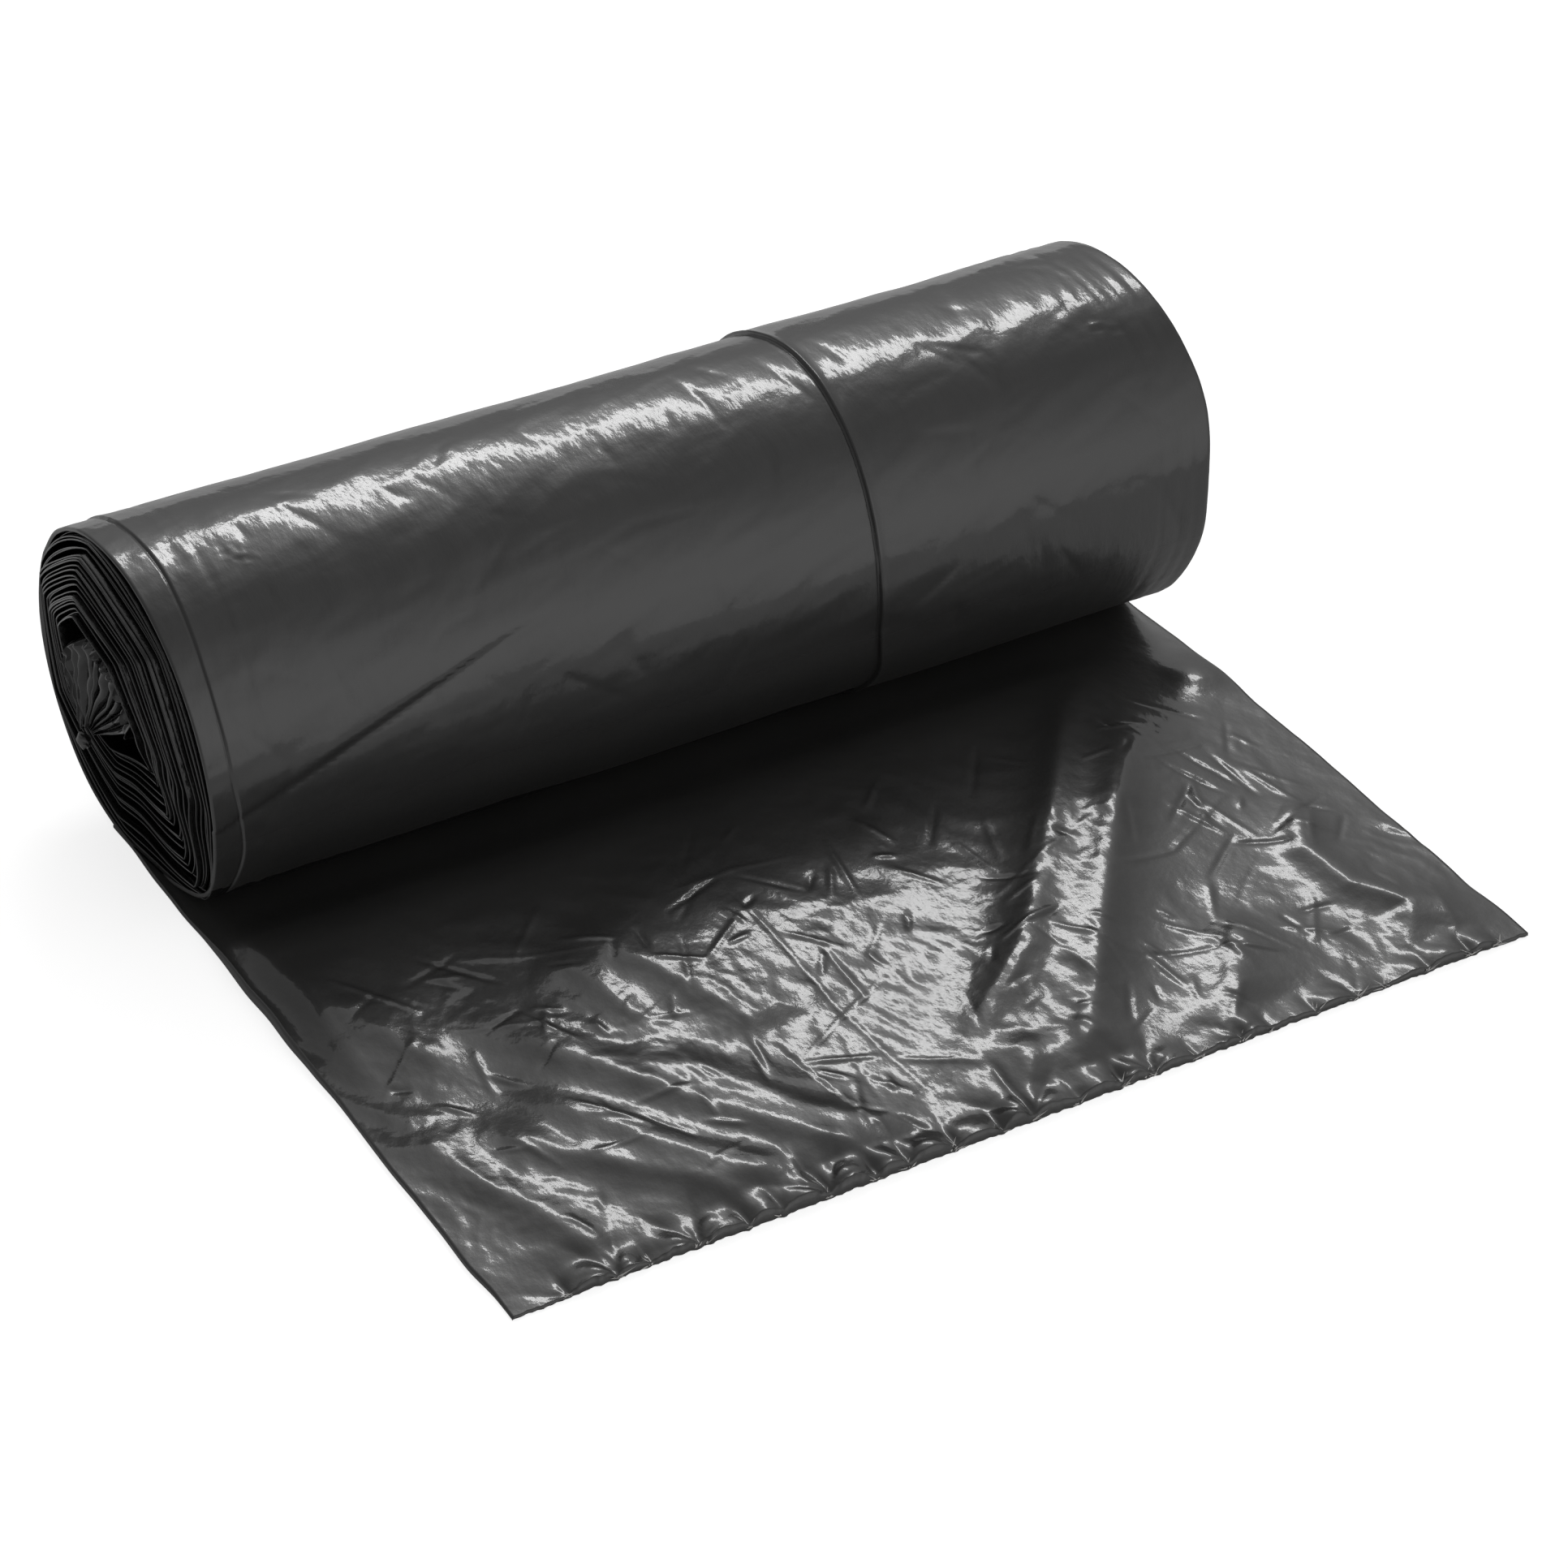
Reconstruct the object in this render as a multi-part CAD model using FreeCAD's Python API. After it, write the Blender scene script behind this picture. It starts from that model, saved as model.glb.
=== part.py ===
import FreeCAD, Part
import math
import os

from FreeCAD import Placement, Vector

# A coreless roll of film bags, lying on its side with the first bag drawn off flat in front of it.
# The bags are one continuous web of folded film, so the whole thing is one solid.
# X runs along the roll, +Y points behind it and +Z up. The origin is on the surface that the roll
# lies on, midway along the roll and straight below its centre.

NODE = "bag_web"

SIZES = {
    # the folded web
    "web_width": 300.0,
    "web_thickness": 1.5,
    # the wound roll: its section is a half circle above, and below it two quarter circles and a flat
    "roll_length": 303.0,
    "roll_half_width": 53.0,
    "roll_belly": 42.8,
    "turn_pitch": 3.3,
    "turn_count": 9.0,
    "loose_depth": 12.0,
    # how far each turn has crept out of the near end past the turn outside it, and into the far end
    "creep": 0.75,
    # the start of the web, bunched into pleats inside the hollow
    "bunch_bend": 1.6,
    "bunch_leg": 22.0,
    "bunch_slump": 6.0,
    "bunch_pairs": 2.0,
    # edges of the folded layers, which show as steps round the outermost turn
    "outer_slack": 0.3,
    "first_fold_inset": 8.5,
    "second_fold_inset": 104.0,
    "fold_step": 0.6,
    "fold_step_run": 0.5,
    # gathers round the far end of the outermost turn
    "gather_inset": 30.0,
    "gather_pitch": 5.0,
    "gather_count": 5.0,
    "gather_height": 0.6,
    # the loose bag
    "bag_reach": 205.5,
    "calm_strip": 26.0,
    "row_spacing": 10.0,
    "hump_height": 6.0,
    "crumple_height": 0.9,
    "crumple_length": 31.0,
    "fold_height": 5.0,
    "fold_steep": 12.0,
    "fold_gentle": 20.0,
    # the torn perforation along its front edge
    "tie_pitch": 12.0,
    "tie_nib": 1.6,
    "pinch_height": 1.6,
    "pinch_reach": 12.0,
    "pinch_rows": 2.0,
}

# How the loose bag's hump rises off the surface and sinks again, as shares of the way from the roll
# to the torn edge, and where it ends sideways, as shares of half the web's width.
HUMP_RISE = (0.04, 0.25)
HUMP_FALL = (0.22, 1.0)
HUMP_SIDE = (0.6, 1.0)
HUMP_AT_SIDE = 0.25

# Crests of the loose bag's folds: each is a bent line from the roll's side towards the torn edge, and
# a share of the fold height. A point is a share of the web's width to the right of the middle and a
# share of the way to the torn edge. The flank on the line's right hand is the steep one.
FOLDS = (
    (((0.40, 0.18), (0.32, 0.29), (0.21, 0.51), (0.10, 0.72), (-0.02, 0.86)), 1.0),
    (((0.41, 0.30), (0.33, 0.45), (0.21, 0.685), (0.13, 0.83), (0.04, 1.0)), 1.0),
    (((0.29, 0.76), (0.25, 0.87), (0.20, 0.95), (0.17, 1.0)), 0.6),
    (((-0.24, 0.36), (-0.21, 0.44), (-0.19, 0.54), (-0.16, 0.63), (-0.15, 0.71)), 0.6),
    (((-0.35, 0.43), (-0.32, 0.60), (-0.26, 0.74), (-0.19, 0.89), (-0.14, 1.0)), 0.75),
    (((-0.37, 0.61), (-0.31, 0.81), (-0.25, 0.94), (-0.22, 1.0)), 0.65),
    (((-0.43, 0.63), (-0.34, 0.83), (-0.25, 1.0)), 0.45),
    (((-0.47, 0.56), (-0.44, 0.78), (-0.42, 0.87), (-0.40, 1.0)), 0.45),
    (((0.44, 0.54), (0.39, 0.71), (0.40, 0.80), (0.43, 0.88), (0.39, 0.95)), 0.5),
)


def make_sheet(doc):
    """The driving dimensions, one row each with its name beside it."""
    sheet = doc.addObject("Spreadsheet::Sheet", "Sizes")
    for row, (name, value) in enumerate(SIZES.items(), start=1):
        sheet.set(f"A{row}", name)
        sheet.set(f"B{row}", str(value))
        sheet.setAlias(f"B{row}", name)
    doc.recompute()
    return sheet


class Path:
    """A line across the roll, in the YZ plane, drawn as straight runs and tangent bends."""

    def __init__(self, y, z, heading=0.0):
        self.start = Vector(0, y, z)
        self.place = self.start
        self.heading = heading
        self.edges = []

    def away(self, angle, distance):
        return Vector(0, distance * math.cos(angle), distance * math.sin(angle))

    def run(self, distance):
        end = self.place + self.away(self.heading, distance)
        self.edges.append(Part.LineSegment(self.place, end).toShape())
        self.place = end

    def bend(self, radius, degrees):
        """Turns by degrees, to the left where they are positive."""
        side = math.copysign(math.pi / 2, degrees)
        turn = math.radians(degrees)
        centre = self.place + self.away(self.heading + side, radius)
        middle = centre + self.away(self.heading - side + turn / 2, radius)
        end = centre + self.away(self.heading - side + turn, radius)
        self.edges.append(Part.Arc(self.place, middle, end).toShape())
        self.place = end
        self.heading += turn


def closed_wire(outer, inner):
    """The outline of the web between its outer and its inner face."""
    start = Part.LineSegment(inner.start, outer.start).toShape()
    end = Part.LineSegment(outer.place, inner.place).toShape()
    return Part.Wire(outer.edges + [end] + inner.edges[::-1] + [start])


def flat_front(size):
    """Y of the front end of every turn's flat bottom."""
    return size("roll_belly") - size("roll_half_width") - size("turn_pitch")


def flat_length(size):
    """The flat bottom of each turn, which makes the roll's flat spot."""
    return 2 * (size("roll_half_width") - size("roll_belly")) + size("turn_pitch")


def wind(path, size, turn, inward, swell=0.0):
    """One turn, a depth inward from its outer face: along the bottom, up the back, over and down."""
    belly = size("roll_belly") - turn * size("turn_pitch") - inward
    top = size("roll_half_width") - turn * size("turn_pitch") - inward
    path.run(flat_length(size) + swell)
    path.bend(belly, 90)
    path.bend(top + swell, 180)
    path.bend(belly - size("turn_pitch"), 90)
    if swell:
        path.run(swell)


def bunch(path, size, inward):
    """The web's start turns down from the top of the hollow and folds to and fro."""
    leftward = size("bunch_bend") + size("web_thickness") - inward
    rightward = size("bunch_bend") + inward
    leg = size("bunch_leg")
    path.bend(leftward, 90)
    path.run(leg)
    for _ in range(int(size("bunch_pairs"))):
        leg -= size("bunch_slump")
        path.bend(leftward, 180)
        path.run(leg)
        path.bend(rightward, -180)
        path.run(leg)


def last_turn(size):
    return int(size("turn_count")) - 1


# The last turn has one flat and two bends before its bunch.
EDGES_BEFORE_BUNCH = 3


def start_of_web(path, size, inward):
    """The last turn stops at the top of the hollow and runs into the bunch."""
    depth = last_turn(size) * size("turn_pitch") + inward
    path.run(flat_length(size))
    path.bend(size("roll_belly") - depth, 90)
    path.bend(size("roll_half_width") - depth, 90)
    bunch(path, size, inward)


def turn_section(size, turn):
    """The web's section round one turn."""
    paths = []
    for inward in (0.0, size("web_thickness")):
        path = Path(flat_front(size), turn * size("turn_pitch") + inward)
        if turn < last_turn(size):
            wind(path, size, turn, inward)
        else:
            start_of_web(path, size, inward)
        paths.append(path)
    return Part.Face(closed_wire(*paths))


def along_roll(section, start, end):
    section.translate(Vector(start, 0, 0))
    return section.extrude(Vector(end - start, 0, 0))


def make_turn_ends(size, turn):
    """One turn's loose edges, crept out at the near end past the turn outside it and in at the far."""
    half = size("roll_length") / 2
    depth = size("loose_depth")
    creep = turn * size("creep")
    near = along_roll(turn_section(size, turn), -half - creep, -half + depth)
    far = along_roll(turn_section(size, turn), half - depth, half - creep)
    return near, far


def make_pressed_turns(size):
    """The turns under the outermost one, pressed together between the roll's loose ends."""
    front, pitch, last = flat_front(size), size("turn_pitch"), last_turn(size)
    skin = Path(front, pitch)
    wind(skin, size, 1, 0.0)
    step = Part.LineSegment(skin.place, skin.start).toShape()
    whole = Part.Face(Part.Wire(skin.edges + [step]))
    inner = Path(front, last * pitch + size("web_thickness"))
    start_of_web(inner, size, size("web_thickness"))
    outer = Path(front, last * pitch)
    start_of_web(outer, size, 0.0)
    bunched = outer.edges[EDGES_BEFORE_BUNCH:]
    top = bunched[0].firstVertex().Point
    roof = Path(top.y, top.z, math.pi)
    roof.bend(size("roll_half_width") - last * pitch, 90)
    roof.bend(size("roll_belly") - (last + 1) * pitch, 90)
    tip = Part.LineSegment(inner.place, outer.place).toShape()
    lip = Part.LineSegment(roof.place, inner.start).toShape()
    hollow = Part.Face(Part.Wire(inner.edges + [tip] + bunched[::-1] + roof.edges + [lip]))
    reach = size("roll_length") / 2 - size("loose_depth")
    return along_roll(whole.cut(hollow), -reach, reach)


def fold_stations(size):
    """X of each station along the outermost turn, with how far the layers there swell it."""
    half = size("roll_length") / 2
    swell = size("outer_slack")
    stations = [(-half, swell)]
    for x in (-half + size("first_fold_inset"), half - size("second_fold_inset")):
        stations.append((x, swell))
        swell += size("fold_step")
        stations.append((x + size("fold_step_run"), swell))
    for gather in range(int(size("gather_count"))):
        x = half - size("gather_inset") + gather * size("gather_pitch")
        stations.append((x, swell))
        stations.append((x + size("gather_pitch") / 2, swell + size("gather_height")))
    stations.append((half, swell))
    return stations


def make_outer_turn(size):
    """The outermost turn, ruled between its sections at the stations."""
    wires = []
    for x, swell in fold_stations(size):
        outer = Path(flat_front(size), 0.0)
        wind(outer, size, 0, 0.0, swell)
        inner = Path(flat_front(size), size("web_thickness"))
        wind(inner, size, 0, size("web_thickness"))
        wire = closed_wire(outer, inner)
        wire.translate(Vector(x, 0, 0))
        wires.append(wire)
    return Part.makeLoft(wires, True, True)


def ease(value, limits):
    """Rises smoothly from nothing to one between two limits."""
    low, high = limits
    share = min(max((value - low) / (high - low), 0.0), 1.0)
    return share * share * (3 - 2 * share)


def ridge(x, y, start, end, steep, gentle):
    """A crest of height one along a line, steep on its right hand and gentle on its left."""
    along_x, along_y = end[0] - start[0], end[1] - start[1]
    share = ((x - start[0]) * along_x + (y - start[1]) * along_y) / (along_x**2 + along_y**2)
    share = min(max(share, 0.0), 1.0)
    off_x, off_y = x - start[0] - share * along_x, y - start[1] - share * along_y
    reach = steep if off_x * along_y > off_y * along_x else gentle
    return max(0.0, 1.0 - math.hypot(off_x, off_y) / reach)


def fold_lift(size, x, y):
    """How far the folds lift the loose bag at a point."""
    front = flat_front(size)
    way = size("bag_reach") + front
    lift = 0.0
    for crest, height in FOLDS:
        line = [(side * size("web_width"), front - share * way) for side, share in crest]
        flanks = [
            ridge(x, y, start, end, size("fold_steep"), size("fold_gentle"))
            for start, end in zip(line, line[1:])
        ]
        lift += size("fold_height") * height * max(flanks)
    return lift


def hump_lift(size, x, y):
    """The broad swell where the loose bag comes off the roll."""
    front = flat_front(size)
    share = (front - y) / (size("bag_reach") + front)
    inside = 1.0 - ease(abs(2 * x / size("web_width")), HUMP_SIDE)
    across = HUMP_AT_SIDE + (1.0 - HUMP_AT_SIDE) * inside
    return size("hump_height") * ease(share, HUMP_RISE) * (1.0 - ease(share, HUMP_FALL)) * across


def crumple_lift(size, x, y):
    """Small slanting waves all over the loose bag."""
    wave = 2 * math.pi / size("crumple_length")
    return size("crumple_height") / 2 * (1.0 + math.sin(wave * (x + y / 2)) * math.sin(wave * (y - x / 2)))


def bag_lift(size, x, y, at_tie):
    """How far the loose bag is off the surface under it."""
    calm = min(max((flat_front(size) - y) / size("calm_strip") - 1.0, 0.0), 1.0)
    lift = crumple_lift(size, x, y) + fold_lift(size, x, y) + hump_lift(size, x, y)
    if at_tie:
        lift += size("pinch_height") * max(0.0, 1.0 - (y + size("bag_reach")) / size("pinch_reach"))
    return lift * calm


def bag_rows(size):
    """Y of each row of points across the loose bag: its flat start, creased rows, a pinched strip."""
    front = flat_front(size)
    calm = front - size("calm_strip")
    pinched = -size("bag_reach") + size("pinch_reach")
    plain_rows = max(2, round((calm - pinched) / size("row_spacing")))
    pinch_rows = int(size("pinch_rows"))
    rows = [front]
    rows += [calm + (pinched - calm) * row / plain_rows for row in range(plain_rows)]
    rows += [pinched - size("pinch_reach") * row / pinch_rows for row in range(pinch_rows + 1)]
    return rows


def triangle(first, second, third):
    return Part.Face(Part.makePolygon([first, second, third, first]))


def strip(first, second):
    """Triangles between two lines of points, where the second has as many points or twice the spans."""
    faces = []
    finer = len(second) > len(first)
    for i in range(len(first) - 1):
        left, right = first[i], first[i + 1]
        if finer:
            low = second[2 * i : 2 * i + 3]
            faces += [triangle(left, low[0], low[1]), triangle(left, low[1], right)]
            faces.append(triangle(right, low[1], low[2]))
        elif i % 2:
            faces += [triangle(left, second[i], right), triangle(right, second[i], second[i + 1])]
        else:
            faces += [triangle(left, second[i], second[i + 1]), triangle(left, second[i + 1], right)]
    return faces


def rim(low, high):
    """The film's cut edge between its under face and its upper face."""
    faces = []
    for i in range(len(low) - 1):
        corners = [low[i], low[i + 1], high[i + 1], high[i], low[i]]
        faces.append(Part.Face(Part.makePolygon(corners)))
    return faces


def make_loose_bag(size):
    """The drawn-off bag, from under the roll to its torn edge, creased and with a nib at each tie."""
    half = size("web_width") / 2
    ties = round(size("web_width") / size("tie_pitch"))
    rows = bag_rows(size)
    pinched = len(rows) - int(size("pinch_rows")) - 1
    under = []
    for row, y in enumerate(rows):
        spans = 1 if row == 0 else ties if row <= pinched else 2 * ties
        line = []
        for i in range(spans + 1):
            x = -half + size("web_width") * i / spans
            at_tie = row > pinched and i % 2 == 1
            nib = size("tie_nib") if at_tie and row == len(rows) - 1 else 0.0
            line.append(Vector(x, y - nib, bag_lift(size, x, y, at_tie)))
        under.append(line)
    thickness = Vector(0, 0, size("web_thickness"))
    over = [[point + thickness for point in line] for line in under]
    faces = []
    for face in (under, over):
        calm = [face[0][0]] + face[1] + [face[0][1], face[0][0]]
        faces.append(Part.Face(Part.makePolygon(calm)))
        for first, second in zip(face[1:], face[2:]):
            faces += strip(first, second)
    for low, high in (
        (under[0], over[0]),
        (under[-1], over[-1]),
        ([line[0] for line in under], [line[0] for line in over]),
        ([line[-1] for line in under], [line[-1] for line in over]),
    ):
        faces += rim(low, high)
    shell = Part.makeShell(faces)
    shell.sewShape()
    return Part.makeSolid(shell)


def add_shape(doc, name, shape):
    feature = doc.addObject("Part::Feature", name)
    feature.Label = name
    feature.Shape = shape
    feature.Placement = Placement()
    return feature


def check(doc, feature):
    """Stops on any object that failed, before anything is written."""
    for item in doc.Objects:
        bad = [state for state in item.State if state in ("Invalid", "Error")]
        if bad:
            raise RuntimeError(f"{item.Label} is {bad}")
    shape = feature.Shape
    if shape.isNull() or not shape.isValid():
        raise RuntimeError(f"{feature.Label} has no valid shape")
    if len(shape.Solids) != 1:
        raise RuntimeError(f"{feature.Label} has {len(shape.Solids)} solids")


def main():
    doc = FreeCAD.newDocument("bag_roll")
    sheet = make_sheet(doc)

    def size(name):
        return float(sheet.get(name))

    stretches = [
        add_shape(doc, "loose_bag", make_loose_bag(size)),
        add_shape(doc, "outer_turn", make_outer_turn(size)),
        add_shape(doc, "pressed_turns", make_pressed_turns(size)),
    ]
    for turn in range(1, int(size("turn_count"))):
        near, far = make_turn_ends(size, turn)
        stretches.append(add_shape(doc, f"near_edge_{turn}", near))
        stretches.append(add_shape(doc, f"far_edge_{turn}", far))
    web = doc.addObject("Part::MultiFuse", NODE)
    web.Label = NODE
    web.Shapes = stretches
    doc.recompute()
    check(doc, web)
    box = web.Shape.BoundBox
    print(f"{NODE}: {web.Shape.Volume / 1000:.0f} cm3, {len(web.Shape.Faces)} faces")
    print(f"box {box.XMin:.1f}..{box.XMax:.1f} {box.YMin:.1f}..{box.YMax:.1f} {box.ZMin:.2f}..{box.ZMax:.1f}")
    os.makedirs("parts", exist_ok=True)
    web.Shape.exportStep(f"parts/{NODE}.step")


main()
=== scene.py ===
import math

import bpy
import numpy as np
from mathutils import Matrix, Vector


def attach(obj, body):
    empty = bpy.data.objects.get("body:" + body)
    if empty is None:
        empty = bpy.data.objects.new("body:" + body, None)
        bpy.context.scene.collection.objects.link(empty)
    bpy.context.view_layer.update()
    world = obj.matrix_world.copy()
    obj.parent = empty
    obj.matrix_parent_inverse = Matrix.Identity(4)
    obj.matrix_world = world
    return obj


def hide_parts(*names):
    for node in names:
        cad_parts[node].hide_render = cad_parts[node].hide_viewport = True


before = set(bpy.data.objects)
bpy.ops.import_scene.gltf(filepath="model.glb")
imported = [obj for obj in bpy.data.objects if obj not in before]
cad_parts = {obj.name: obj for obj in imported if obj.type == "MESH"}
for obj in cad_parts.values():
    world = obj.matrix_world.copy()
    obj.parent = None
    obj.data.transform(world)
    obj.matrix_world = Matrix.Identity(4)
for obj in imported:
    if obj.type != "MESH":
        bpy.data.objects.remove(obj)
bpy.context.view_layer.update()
MM = 0.001

# %% [markdown]
# The camera comes first, because every later look is seen from it. It stands in front of the
# roll's near end and looks down at it by about 35 degrees. A long lens keeps the perspective mild.
# A camera could be turned with angles, but three perpendicular axes say the same thing with no
# order of turns to remember.
# %% Camera
EYE = Vector((-0.5087, -0.9250, 0.7177))
LOOKED_AT = Vector((0.0159, -0.0513, 0.0))
TILT = math.radians(0.67)


def add_camera():
    lens = bpy.data.cameras.new("camera")
    lens.sensor_width = 36.0
    lens.lens = 105.97
    camera = bpy.data.objects.new("camera", lens)
    bpy.context.scene.collection.objects.link(camera)
    forward = (LOOKED_AT - EYE).normalized()
    level = forward.cross(Vector((0, 0, 1))).normalized()
    upright = level.cross(forward)
    right = level * math.cos(TILT) + upright * math.sin(TILT)
    up = upright * math.cos(TILT) - level * math.sin(TILT)
    turn = Matrix((right, up, -forward)).transposed().to_4x4()
    camera.matrix_world = Matrix.Translation(EYE) @ turn
    bpy.context.scene.camera = camera
    return camera


camera = add_camera()
print("camera at", tuple(round(v, 3) for v in EYE))

# %% [markdown]
# A shader is easier to read as sums than as boxes and wires. The first class wraps one socket, and
# the usual signs on it add the Math nodes that they stand for. The second class adds any other
# node, with its settings first and its sockets by name.
# %% Sums on sockets
class Value:
    """One socket of a node tree, which can be added to, multiplied and so on."""

    def __init__(self, tree, socket):
        self.tree = tree
        self.socket = socket

    def above(self, lowest):
        return self.math("MAXIMUM", self, lowest)

    def math(self, operation, first, second):
        node = self.tree.nodes.new("ShaderNodeMath")
        node.operation = operation
        for socket, value in zip(node.inputs, (first, second)):
            plug(self.tree, socket, value)
        return Value(self.tree, node.outputs[0])

    def __add__(self, other):
        return self.math("ADD", self, other)

    def __radd__(self, other):
        return self.math("ADD", other, self)

    def __sub__(self, other):
        return self.math("SUBTRACT", self, other)

    def __rsub__(self, other):
        return self.math("SUBTRACT", other, self)

    def __mul__(self, other):
        return self.math("MULTIPLY", self, other)

    def __rmul__(self, other):
        return self.math("MULTIPLY", other, self)

    def __pow__(self, other):
        return self.math("POWER", self, other)


def plug(tree, socket, value):
    if isinstance(value, Value):
        tree.links.new(value.socket, socket)
    else:
        socket.default_value = value


class Board:
    """A node tree under construction, with one method that adds any node."""

    def __init__(self, tree):
        self.tree = tree
        self.tree.nodes.clear()

    def add(self, kind, settings=None, **values):
        node = self.tree.nodes.new(kind)
        for name, value in (settings or {}).items():
            setattr(node, name, value)
        for name, value in values.items():
            entries = {socket.name.replace(" ", "_"): socket for socket in reversed(node.inputs)}
            entries.update({socket.identifier: socket for socket in node.inputs})
            plug(self.tree, entries[name], value)
        exits = {socket.name: Value(self.tree, socket) for socket in node.outputs}
        exits.update({socket.identifier: Value(self.tree, socket) for socket in node.outputs})
        return exits


# %% [markdown]
# The film is black polythene about a tenth of a millimetre thick. It is almost black in itself, and
# what the eye sees is the gloss: a satin sheen everywhere and glints on the creases. Its base stays
# near black with a slight warm unevenness. One gloss alone would be either a mirror or a haze, and
# the film is both, so a sharp and a soft reflection are mixed, and the roll's film is duller low
# down, where it is slack. The two bumps are what is too small for the mesh: wrinkles pulled more
# one way than the other, and a fine grain.
# %% Black film
def black_film(name, body, shine, glosses, crinkle, pull, dull_below=0.0):
    material = bpy.data.materials.new(name)
    material.use_nodes = True
    board = Board(material.node_tree)
    place = board.add("ShaderNodeTexCoord")["Object"]
    pulled = board.add("ShaderNodeMapping", Vector=place, Scale=pull)["Vector"]
    drift = board.add("ShaderNodeTexNoise", Vector=place, Scale=22.0, Detail=3.0)["Fac"]
    height = board.add("ShaderNodeSeparateXYZ", Vector=place)["Z"]
    dulling = 0.08 * drift + 6.0 * (dull_below - height).above(0.0)
    wrinkle = board.add("ShaderNodeTexNoise", Vector=pulled, Scale=1.0, Detail=5.0)["Fac"]
    grain = board.add("ShaderNodeTexNoise", Vector=place, Scale=420.0, Detail=3.0)["Fac"]
    wrinkled = board.add("ShaderNodeBump", Strength=crinkle, Distance=0.001, Height=wrinkle)
    grained = board.add(
        "ShaderNodeBump", Strength=0.12, Distance=0.0003, Height=grain, Normal=wrinkled["Normal"]
    )["Normal"]
    cold = tuple(body * part for part in (0.80, 0.80, 0.80)) + (1.0,)
    warm = tuple(body * part for part in (1.20, 1.17, 1.13)) + (1.0,)
    tone = board.add(
        "ShaderNodeMix", {"data_type": "RGBA"}, Factor_Float=drift, A_Color=cold, B_Color=warm
    )["Result_Color"]
    sharp, soft = (
        board.add(
            "ShaderNodeBsdfPrincipled",
            Base_Color=tone,
            Roughness=roughness + dulling,
            IOR=1.5,
            Specular_IOR_Level=shine,
            Normal=grained,
        )["BSDF"]
        for roughness in glosses
    )
    film = board.add("ShaderNodeMixShader", Fac=0.5, Shader=sharp, Shader_001=soft)["Shader"]
    board.add("ShaderNodeOutputMaterial", Surface=film)
    return material


wrap_film = black_film("roll film", 0.022, 1.0, (0.05, 0.24), 0.38, (120.0, 50.0, 50.0), 0.07)
# The wound turns and the pleated start get a darker copy of the same film. Its near-black base is
# painted shade for the roll's end and the hollow.
edge_film_painted_shade = black_film("turn edge film with painted shade", 0.004, 0.8, (0.04, 0.20), 0.35, (150.0, 150.0, 150.0))
# The loose bag gets a lighter copy of the same film. Its lighter base is painted light that lifts the
# bag's darker parts, where it mirrors the dark roll.
bag_film_painted_light = black_film("loose bag film with painted light", 0.042, 1.0, (0.07, 0.28), 0.30, (130.0, 90.0, 90.0))
print("films:", wrap_film.name, edge_film_painted_shade.name, bag_film_painted_light.name)

# %% [markdown]
# Every piece here is a sheet of film, so every piece can be a grid of points: rows one way, columns
# the other. One helper turns such a grid into a smooth mesh, and a second one gives smooth seeded
# noise over the whole grid at once, which is much faster than asking point by point.
# %% Grids and smooth noise
def film_piece(name, points, material, wrap_rows=False, wrap_columns=False):
    rows, columns = points.shape[:2]
    index = np.arange(rows * columns).reshape(rows, columns)
    if wrap_rows:
        index = np.vstack((index, index[:1]))
    if wrap_columns:
        index = np.hstack((index, index[:, :1]))
    corners = np.stack((index[:-1, :-1], index[:-1, 1:], index[1:, 1:], index[1:, :-1]), axis=-1)
    mesh = bpy.data.meshes.new(name)
    mesh.from_pydata(points.reshape(-1, 3).tolist(), [], corners.reshape(-1, 4).tolist())
    mesh.shade_smooth()
    mesh.materials.append(material)
    piece = bpy.data.objects.new(name, mesh)
    bpy.context.scene.collection.objects.link(piece)
    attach(piece, "root")
    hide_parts("bag_web")
    print(name, "has", len(mesh.polygons), "faces")
    return piece


def noise(across, along, seed):
    """Smooth noise from -1 to 1 with a lattice step of one in both directions."""
    size = 64
    turns = np.random.default_rng(seed).uniform(0, 2 * np.pi, (size, size))
    column, row = np.floor(across).astype(int), np.floor(along).astype(int)
    u, v = across - column, along - row

    def corner(i, j):
        turn = turns[(row + j) % size, (column + i) % size]
        return (u - i) * np.cos(turn) + (v - j) * np.sin(turn)

    ease_u = u**3 * (u * (u * 6 - 15) + 10)
    ease_v = v**3 * (v * (v * 6 - 15) + 10)
    low = corner(0, 0) * (1 - ease_u) + corner(1, 0) * ease_u
    high = corner(0, 1) * (1 - ease_u) + corner(1, 1) * ease_u
    return 1.5 * (low * (1 - ease_v) + high * ease_v)


def ridges(across, along, seed, sharpness=0.06):
    """Crests of height one where the noise passes through nothing, rounded at the top."""
    level = noise(across, along, seed)
    return 1.0 - np.sqrt(level**2 + sharpness**2)


def soft_step(value, low, high):
    share = np.clip((value - low) / (high - low), 0.0, 1.0)
    return share * share * (3 - 2 * share)


def line_distance(x, y, points):
    """Distance to a bent line, which side of it a point is on, and how far along it is."""
    best = np.full(x.shape, 1e9)
    side = np.zeros(x.shape)
    along = np.zeros(x.shape)
    line = [(px * MM, py * MM) for px, py in points]
    runs = [math.dist(a, b) for a, b in zip(line, line[1:])]
    done = 0.0
    for (x1, y1), (x2, y2), run in zip(line, line[1:], runs):
        dx, dy = (x2 - x1) / run, (y2 - y1) / run
        travel = np.clip((x - x1) * dx + (y - y1) * dy, 0, run)
        away = np.hypot(x - x1 - travel * dx, y - y1 - travel * dy)
        closer = away < best
        best = np.where(closer, away, best)
        side = np.where(closer, np.sign((x - x1) * dy - (y - y1) * dx), side)
        along = np.where(closer, (done + travel) / sum(runs), along)
        done += run
    return best, side, along


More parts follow.
